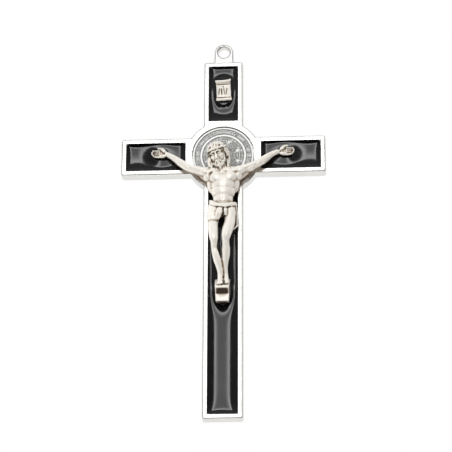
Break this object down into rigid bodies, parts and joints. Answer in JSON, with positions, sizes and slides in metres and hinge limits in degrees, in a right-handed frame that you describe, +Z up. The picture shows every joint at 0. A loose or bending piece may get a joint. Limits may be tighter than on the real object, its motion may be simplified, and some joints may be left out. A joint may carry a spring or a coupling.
{
  "type": "wall crucifix with medal",
  "caption": "Small metal wall crucifix with black enamel panels, an inlaid round medal, a scroll, a corpus and a hanging loop.",
  "frame": {"origin": "centre of the hanging hole, on the flat back", "axes": "+Z up as it hangs, +Y into the wall, the front towards -Y, +X to the viewer's right"},
  "size_m": [0.065, 0.0114, 0.1265],
  "materials": {
    "plated_metal": "polished pale nickel plating",
    "black_enamel": "glossy poured resin",
    "medal_silver": "cool grey antiqued plating",
    "antiqued_silver": "warm antiqued silver plating, dark in the hollows"
  },
  "bodies": {
    "root": {"cross_body": "plated_metal", "enamel_top": "black_enamel", "enamel_bottom": "black_enamel", "enamel_left": "black_enamel", "enamel_right": "black_enamel", "medal": "medal_silver", "scroll": "antiqued_silver", "corpus": "antiqued_silver"}
  },
  "joints": []
}
